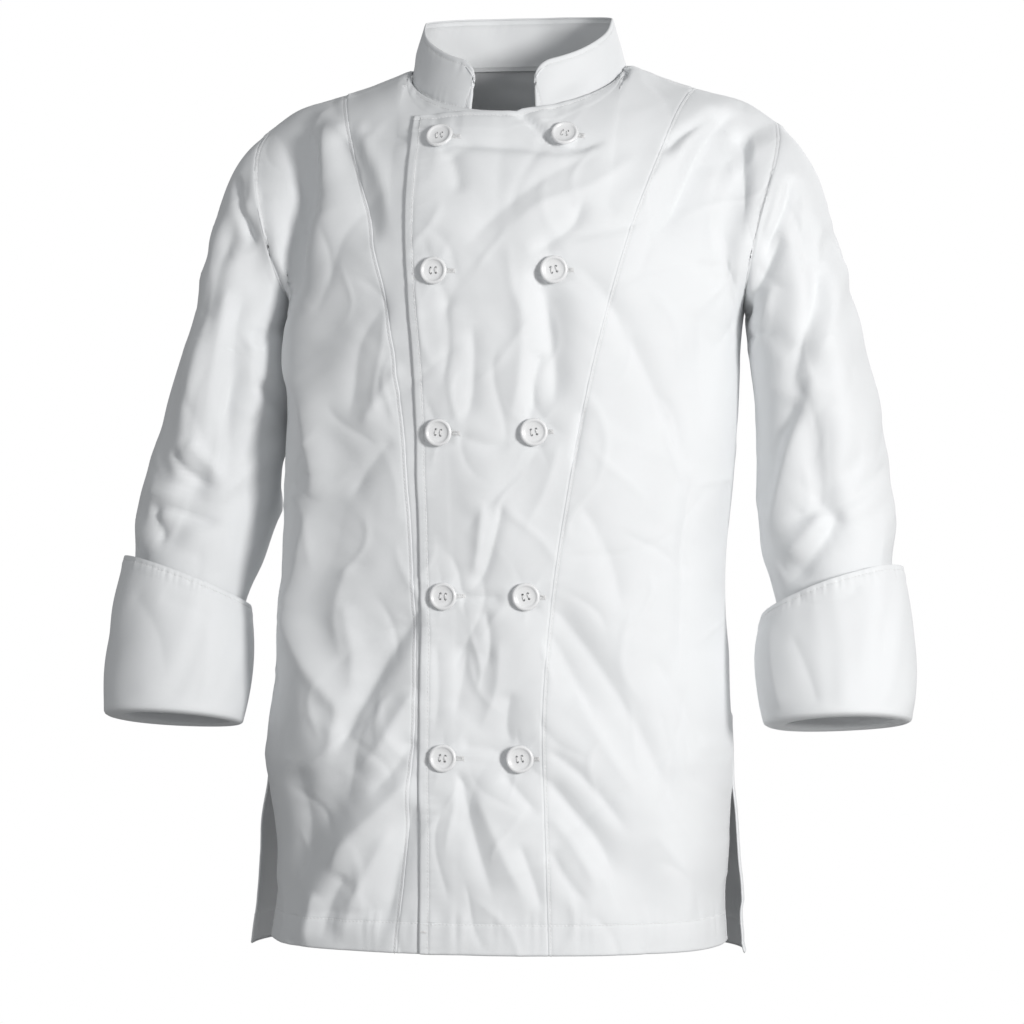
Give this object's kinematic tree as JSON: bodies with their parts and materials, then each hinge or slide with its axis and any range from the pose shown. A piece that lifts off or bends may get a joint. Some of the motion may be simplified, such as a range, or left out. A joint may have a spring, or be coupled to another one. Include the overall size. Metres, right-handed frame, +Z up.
{
  "type": "chef jacket",
  "caption": "White double-breasted chef jacket with a stand collar, long sleeves and turned-back cuffs, in its worn form.",
  "frame": {"origin": "middle of the neck hole, level with the points where the shoulder seams reach the collar, where the wearer's neck and shoulders hold the jacket", "axes": "+Z up, -Y out of the jacket's front, +X to the wearer's left"},
  "size_m": [0.699, 0.2597, 0.8116],
  "materials": {
    "white_cotton": "plain fine twill of poly-cotton, matt with a faint sheen",
    "button_plastic": "polished white polyester button"
  },
  "bodies": {
    "root": {"back": "white_cotton", "button_left_1": "button_plastic", "button_left_2": "button_plastic", "button_left_3": "button_plastic", "button_left_4": "button_plastic", "button_left_5": "button_plastic", "button_right_1": "button_plastic", "button_right_2": "button_plastic", "button_right_3": "button_plastic", "button_right_4": "button_plastic", "button_right_5": "button_plastic", "collar": "white_cotton", "cuff_left": "white_cotton", "cuff_right": "white_cotton", "overlap_front": "white_cotton", "side_front_left": "white_cotton", "side_front_right": "white_cotton", "sleeve_left": "white_cotton", "sleeve_right": "white_cotton", "underlap_front": "white_cotton"}
  },
  "joints": []
}
